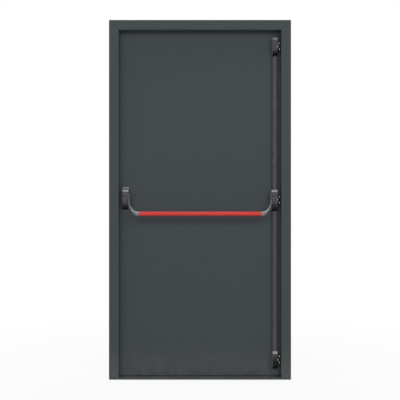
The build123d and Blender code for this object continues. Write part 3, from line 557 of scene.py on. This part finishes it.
def screw_grid(box, outward, profile, details):
    """One screw as rings round its axis. Each ring is a circle whose radius and height follow the profile
    from the tip to the head's top; the last rings are hexagons, with the half width over the cosine of the
    angle folded to 30 degrees as radius, and go down into the socket."""
    low, high = box
    axis = int(np.argmax(np.abs(outward)))
    sides = [(axis + 1) % 3, (axis + 2) % 3]
    if outward[axis] < 0.0:
        sides.reverse()
    head = (high - low)[sides[0]] / 2
    whole = (high - low)[axis]
    steps, socket = details.screw_steps, details.socket_share
    angle = np.linspace(0.0, 2 * np.pi, steps, endpoint=False)
    fold = np.mod(angle + np.pi / 6, np.pi / 3) - np.pi / 6
    circle, hexagon = np.ones(steps), socket / np.cos(fold)
    rings = [circle * radius for radius, _ in profile] + [hexagon, SOCKET_TAPER * hexagon]
    heights = [rise * head if rise > SHANK_FROM else -rise / WHOLE_LENGTH * whole for _, rise in profile]
    heights += [0.0, -details.socket_depth * socket * head]
    grid = np.empty((len(rings), steps, 3))
    radius = np.stack(rings) * head
    middle = (low + high) / 2
    grid[..., sides[0]] = middle[sides[0]] + radius * np.cos(angle)
    grid[..., sides[1]] = middle[sides[1]] + radius * np.sin(angle)
    top = high[axis] if outward[axis] > 0.0 else low[axis]
    grid[..., axis] = top + outward[axis] * np.array(heights)[:, None]
    return grid


# Profiles of a screw from tip to head: radius as a share of the head's, and height in head radii from its
# top. Heights from SHANK_FROM down are shares of the screw's length, of which WHOLE_LENGTH is all
SHANK_FROM = -9.0
WHOLE_LENGTH = -10.0
SOCKET_TAPER = 0.96
PAN_HEAD = (
    (0.26, -10.0), (0.40, -9.6), (0.40, -1.0), (0.99, -1.0), (1.0, -0.96), (1.0, -0.40),
    (0.97, -0.22), (0.90, -0.09), (0.80, -0.02), (0.70, 0.0),
)
SUNK_HEAD = ((0.28, -10.0), (0.48, -9.7), (0.48, -0.52), (0.985, -0.02), (0.96, 0.0))
GRUB = ((0.70, -10.0), (0.98, -9.6), (0.98, -0.25), (0.80, 0.0))


# Operators
class FramePaint(bpy.types.Operator):
    """Paint the jambs, the head and the threshold"""

    bl_idname = "exit_door.frame_paint"
    bl_label = "Frame paint"

    def execute(self, context):
        tone = tuple(context.scene.exit_door_colours.frame_paint)
        weld = mitre_weld(context.scene.exit_door_details.mitre_line)
        coat = powder_coat("frame_coat", tone, frame_edge, weld)
        dress(coat, "hinge_jamb", "lock_jamb", "head", "threshold")
        return {"FINISHED"}


class LeafPaint(bpy.types.Operator):
    """Paint the leaf's skins and finish what is inside the leaf"""

    bl_idname = "exit_door.leaf_paint"
    bl_label = "Leaf paint"

    def execute(self, context):
        colours = context.scene.exit_door_colours
        dress(powder_coat("leaf_coat", tuple(colours.leaf_paint), leaf_edge), "outer_skin", "inner_skin")
        zinc = zinc_sheet("leaf_channels", tuple(colours.zinc))
        dress(zinc, "hinge_stile", "lock_stile", "top_rail", "bottom_rail")
        dress(honeycomb("leaf_filling", tuple(colours.board)), "leaf_core")
        return {"FINISHED"}


class GearCases(bpy.types.Operator):
    """Finish the cases, the rod covers and the guides under them"""

    bl_idname = "exit_door.gear_cases"
    bl_label = "Cases and covers"

    def execute(self, context):
        colours, details = context.scene.exit_door_colours, context.scene.exit_door_details
        tone = tuple(colours.case_paint)
        gloss = 0.24
        dress(satin_case("latch_base_coat", tone, gloss), "top_latch_chassis", "bottom_latch_chassis")
        # Painted highlight colour for the bevels
        pale = tinted(tone, 3.9)
        base_bevel_highlight = (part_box("pivot_cover")[1].y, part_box("pivot_base")[1].z, details.base_bevel_highlight, pale)
        dress(satin_case("pivot_base_coat", tone, gloss, base_bevel_highlight), "pivot_base")
        # Depth of tone, a painted shade that makes the latch covers darker than the others; heights above the
        # lower end where the painted shade on the chin starts and is full; and the height of the pressed line
        for name, depth, start, full, crease in (
            ("pivot_cover", 1.0, 0.055, 0.008, CREASE),
            ("centre_cover", 1.0, 0.068, 0.012, CREASE),
            ("top_latch_cover", 0.74, 0.035, 0.012, None),
            ("bottom_latch_cover", 0.9, 0.098, 0.035, None),
        ):
            low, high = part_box(name)
            bevel_highlight, painted_chin_shade = (low.y, high.z, details.cover_bevel_highlight, pale), (low.z + start, low.z + full)
            wall = min(abs(low.x), abs(high.x))
            dress(satin_case(f"{name}_coat", tinted(tone, depth), gloss, bevel_highlight, painted_chin_shade, wall, crease), name)
        skin = satin_case("rod_cover_skin", tuple(colours.rod_cover), 0.26)
        dress(skin, "upper_rod_cover", "lower_rod_cover")
        dress(moulded("guide_plastic", tuple(colours.guide)), "rod_guides")
        return {"FINISHED"}


class PushBar(bpy.types.Operator):
    """Finish the bar's tube, its arms and its shafts"""

    bl_idname = "exit_door.push_bar"
    bl_label = "Push bar"

    def execute(self, context):
        colours = context.scene.exit_door_colours
        dress(red_paint("bar_red", tuple(colours.bar_paint)), "push_tube")
        dress(satin_arm("arm_satin", tuple(colours.arm_metal)), "left_arm", "right_arm")
        steel = brushed("shaft_steel", tuple(colours.bright_steel), 0.28, "x")
        dress(steel, "left_shaft", "right_shaft", "rocker")
        return {"FINISHED"}


class RodsAndBolts(bpy.types.Operator):
    """Finish the rods, the slider, the cams, the bolts and the bushes"""

    bl_idname = "exit_door.rods_and_bolts"
    bl_label = "Rods and bolts"

    def execute(self, context):
        colours = context.scene.exit_door_colours
        steel = tuple(colours.bright_steel)
        zinc = zinc_sheet("rod_zinc", tuple(colours.zinc))
        dress(zinc, "slider", "upper_rod", "lower_rod", "top_cam", "bottom_cam", "centre_chassis")
        dress(brushed("bolt_steel", steel, 0.30, "x"), "top_bolt", "centre_bolt", "bottom_bolt")
        dress(brushed("bush_brass", tuple(colours.brass), 0.30, "x"), "pivot_bushes", "centre_bushes")
        return {"FINISHED"}


class ReturnSpring(bpy.types.Operator):
    """Wind the coil that drives the rods back"""

    bl_idname = "exit_door.return_spring"
    bl_label = "Return spring"

    def execute(self, context):
        details = context.scene.exit_door_details
        steel = brushed("spring_steel", tinted(context.scene.exit_door_colours.bright_steel, 0.8), 0.32, "z")
        low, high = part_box("return_spring")
        wire, turns = details.spring_wire, details.spring_turns
        # Wire carried along a helix: the end turns lie wire on wire, and the turns between share the rest
        # of the height
        steps_a_turn, steps_round, end_pitch = 40, 14, 2.05
        turn = np.linspace(0.0, turns, turns * steps_a_turn + 1)
        end_rise, height = end_pitch * wire, high.z - low.z - 2 * wire
        rise = np.interp(turn, [0.0, 1.0, turns - 1.0, turns], [0.0, end_rise, height - end_rise, height])
        angle = 2 * np.pi * turn
        radius = (high.x - low.x) / 2 - wire
        outward = np.stack([np.cos(angle), np.sin(angle), 0 * angle], axis=-1)
        path = radius * outward + np.stack([0 * rise, 0 * rise, rise], axis=-1)
        path += ((low.x + high.x) / 2, (low.y + high.y) / 2, low.z + wire)
        along = np.gradient(path, axis=0)
        along /= np.linalg.norm(along, axis=1, keepdims=True)
        across = np.cross(along, outward)
        round_wire = np.linspace(0.0, 2 * np.pi, steps_round, endpoint=False)[None, :, None]
        ring = np.cos(round_wire) * outward[:, None] + np.sin(round_wire) * across[:, None]
        made = surface("return_coil", [path[:, None] + wire * ring], steel, "door")
        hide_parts("return_spring")
        travel = next(joint for joint in frame["joints"] if joint["name"] == "rod_slide")["range_m"][1]
        1 - travel / (high.z - low.z)
        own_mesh(made)
        return {"FINISHED"}


class Hinges(bpy.types.Operator):
    """Finish the hinges on the outside"""

    bl_idname = "exit_door.hinges"
    bl_label = "Hinges"

    def execute(self, context):
        colours = context.scene.exit_door_colours
        levels = ("upper", "middle", "lower")
        steel = brushed("hinge_steel", tinted(colours.bright_steel, 0.86), 0.36, "z")
        dress(steel, *(f"{level}_hinge_{wing}_plate" for level in levels for wing in ("frame", "leaf")))
        pins = brushed("pin_steel", tuple(colours.bright_steel), 0.26, "z")
        dress(pins, *(f"{level}_hinge_pin" for level in levels))
        dress(brushed("washer_brass", tuple(colours.brass), 0.32, "z"), "hinge_washers")
        return {"FINISHED"}


class Strikes(bpy.types.Operator):
    """Finish the strikes on the lock jamb"""

    bl_idname = "exit_door.strikes"
    bl_label = "Strikes"

    def execute(self, context):
        black = satin_case("strike_coat", tuple(context.scene.exit_door_colours.strike_black), 0.42)
        dress(black, "top_strike", "centre_strike", "bottom_strike")
        return {"FINISHED"}


class Screws(bpy.types.Operator):
    """Make the screws with their hexagon sockets"""

    bl_idname = "exit_door.screws"
    bl_label = "Screws"

    def execute(self, context):
        details = context.scene.exit_door_details
        steel = brushed("screw_steel", tuple(context.scene.exit_door_colours.bright_steel), 0.27, "y")
        for node, body, outward, profile in (
            ("strike_screws", "frame", (-1, 0, 0), PAN_HEAD),
            ("hinge_frame_screws", "frame", (0, 1, 0), SUNK_HEAD),
            ("hinge_leaf_screws", "door", (0, 1, 0), SUNK_HEAD),
            ("gear_screws", "door", (0, -1, 0), SUNK_HEAD),
            ("arm_screws", "push_bar", (0, 0, 1), GRUB),
        ):
            grids = [screw_grid(box, outward, profile, details) for box in screw_boxes(node)]
            made = surface(f"socket_{node}", grids, steel, body)
            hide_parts(node)
        return {"FINISHED"}


class StopSeal(bpy.types.Operator):
    """Make the rubber seal on the frame's stop"""

    bl_idname = "exit_door.stop_seal"
    bl_label = "Stop seal"

    def execute(self, context):
        details = context.scene.exit_door_details
        rib, wide = details.seal_lip, details.seal_width
        corner_gap, jamb_steps, head_steps, loop_steps = 0.0003, 60, 40, 5
        rubber = black_rubber("seal_rubber", tuple(context.scene.exit_door_colours.rubber))
        deep = SEAL_HIGH.y - SEAL_LOW.y
        # Profile across the strip: a flat foot, a low rib at each side and a round bulb between them
        corners = np.array(
            [
                (0.02, 0.0), (0.5, 0.0), (0.98, 0.0), (0.99, 0.10), (0.94, rib / deep), (0.86, 0.16),
                (0.80, 0.34), (0.72, 0.78), (0.5, 0.985), (0.28, 0.78), (0.20, 0.34), (0.14, 0.16),
                (0.06, rib / deep), (0.01, 0.10),
            ]
        )
        loop = np.clip(smooth_loop(corners, loop_steps), 0.0, 1.0)
        across, depth = loop[:, 0] * wide, SEAL_LOW.y + loop[:, 1] * deep
        top = SEAL_HIGH.z - wide
        heights = np.linspace(SEAL_LOW.z, top - corner_gap, jamb_steps)[:, None]
        flat = np.zeros_like(heights)
        near = SEAL_HIGH.x - wide
        right = np.stack([near + across + flat, depth + flat, heights + 0 * across], axis=-1)
        left = right[:, ::-1] * (-1.0, 1.0, 1.0)
        along = np.linspace(SEAL_LOW.x, SEAL_HIGH.x, head_steps)[:, None]
        flat = np.zeros_like(along)
        head = np.stack([along + 0 * across, depth + flat, top + across + flat], axis=-1)
        made = surface("seal_strips", [right, left, head], rubber, "frame")
        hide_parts("stop_seal")
        return {"FINISHED"}


class Studio(bpy.types.Operator):
    """Set the floor, the soft light and the camera"""

    bl_idname = "exit_door.studio"
    bl_label = "Studio"

    def execute(self, context):
        scene = context.scene
        studio = scene.exit_door_studio
        scene.view_settings.view_transform = "Standard"
        self.world(scene, studio.sky)
        self.floor()
        door_middle = (0.0, 0.0, 1.0)
        self.lamp("ceiling", studio.top_power, (6.0, 5.0), (-0.8, -1.8, 11.0), (-0.4, -1.2, 0.0))
        self.lamp("front_box", studio.front_power, (10.0, 4.0), (0.8, -9.0, 4.0), door_middle, False)
        for side in (-6.0, 6.0):
            self.lamp("rear_box", studio.rear_power, (4.0, 4.0), (side, 4.5, 3.6), door_middle, False)
        camera = bpy.data.objects.new("camera", bpy.data.cameras.new("camera"))
        scene.collection.objects.link(camera)
        camera.location = (0.0, JAMB_LOW.y - studio.camera_distance, studio.camera_height)
        camera.rotation_euler = (math.radians(90.0), 0.0, 0.0)
        camera.data.lens = studio.camera_lens
        camera.data.sensor_width = 36.0
        scene.camera = camera
        return {"FINISHED"}

    def world(self, scene, sky):
        """White to the camera and in gloss and glass; a plain grey fill to everything else."""
        world = bpy.data.worlds.new("studio")
        world.use_nodes = True
        scene.world = world
        nodes = Nodes(world.node_tree)
        backdrop = nodes.tree.nodes["Background"]
        backdrop.inputs["Color"].default_value = (1.0, 1.0, 1.0, 1.0)
        nodes.feed(backdrop.inputs["Strength"], sky + (1.0 - sky) * nodes.seen())

    def floor(self):
        """A wide flat floor, pale, that takes the object's shadow."""
        half, steps, sunk = 14.0, 28, 0.0006
        reach = np.linspace(-half, half, steps + 1)
        x, y = np.meshgrid(reach, reach, indexing="ij")
        points = np.stack([x, y, np.full_like(x, -sunk)], axis=-1).reshape(-1, 3)
        row, column = np.meshgrid(np.arange(steps), np.arange(steps), indexing="ij")
        here = row * (steps + 1) + column
        after = here + steps + 1
        quads = np.stack([here, after, after + 1, here + 1], axis=-1).reshape(-1, 4)
        mesh = bpy.data.meshes.new("floor")
        mesh.from_pydata(points, [], quads.tolist())
        pale = Finish("floor_pale", roughness=0.9, specular=0.1)
        tone = pale.mix(pale.noise(3.0), (0.62, 0.62, 0.62), (0.65, 0.65, 0.65))
        pale.feed(pale.shader.inputs["Base Color"], tone)
        glow = pale.node("ShaderNodeEmission", None, {"Color": (1.0, 1.0, 1.0, 1.0), "Strength": 1.0})
        away = ((pale.x * pale.x + pale.y * pale.y) ** 0.5).step(0.7, 2.6)
        white = pale.seen() * (0.92 + 0.08 * away)
        values = {0: white, 1: pale.shader.outputs[0], 2: glow.outputs[0]}
        blend = pale.node("ShaderNodeMixShader", None, values)
        pale.feed(pale.tree.nodes["Material Output"].inputs["Surface"], blend.outputs[0])
        mesh.materials.append(pale.material)
        made = bpy.data.objects.new("floor", mesh)
        bpy.context.scene.collection.objects.link(made)

    def lamp(self, name, watts, size, place, target, in_gloss=True):
        """A soft box at a place, turned to a target, that shiny faces mirror or not."""
        light = bpy.data.lights.new(name, "AREA")
        light.shape = "RECTANGLE"
        light.size, light.size_y = size
        light.energy = watts
        made = bpy.data.objects.new(name, light)
        bpy.context.scene.collection.objects.link(made)
        aim = np.subtract(target, place)
        flat = math.hypot(aim[0], aim[1])
        made.location = place
        made.rotation_euler = (math.atan2(flat, -aim[2]), 0.0, math.atan2(-aim[0], aim[1]))
        made.visible_camera = False
        made.visible_glossy = in_gloss


OPERATORS = (
    FramePaint,
    LeafPaint,
    GearCases,
    PushBar,
    RodsAndBolts,
    ReturnSpring,
    Hinges,
    Strikes,
    Screws,
    StopSeal,
    Studio,
)


class DoorPanel(bpy.types.Panel):
    """Lists the door's steps and values"""

    bl_idname = "VIEW3D_PT_exit_door"
    bl_label = "Exit door"
    bl_space_type = "VIEW_3D"
    bl_region_type = "UI"
    bl_category = "Exit door"

    def draw(self, context):
        for operator in OPERATORS:
            self.layout.operator(operator.bl_idname)
        for name in ("exit_door_colours", "exit_door_details", "exit_door_studio"):
            group = getattr(context.scene, name)
            for key in group.bl_rna.properties.keys():
                if key not in ("rna_type", "name"):
                    self.layout.prop(group, key)


GROUPS = {
    "exit_door_colours": DoorColours,
    "exit_door_details": DoorDetails,
    "exit_door_studio": DoorStudio,
}


def register():
    for group in (*GROUPS.values(), *OPERATORS, DoorPanel):
        bpy.utils.register_class(group)
    for name, group in GROUPS.items():
        setattr(bpy.types.Scene, name, PointerProperty(type=group))


def unregister():
    for name in GROUPS:
        delattr(bpy.types.Scene, name)
    for group in reversed((*GROUPS.values(), *OPERATORS, DoorPanel)):
        bpy.utils.unregister_class(group)


def main():
    """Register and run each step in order."""
    register()
    for operator in OPERATORS:
        step = getattr(bpy.ops.exit_door, operator.bl_idname.split(".")[1])
        if step() != {"FINISHED"}:
            raise RuntimeError(f"{operator.bl_label} didn't finish")


if __name__ == "__main__":
    main()
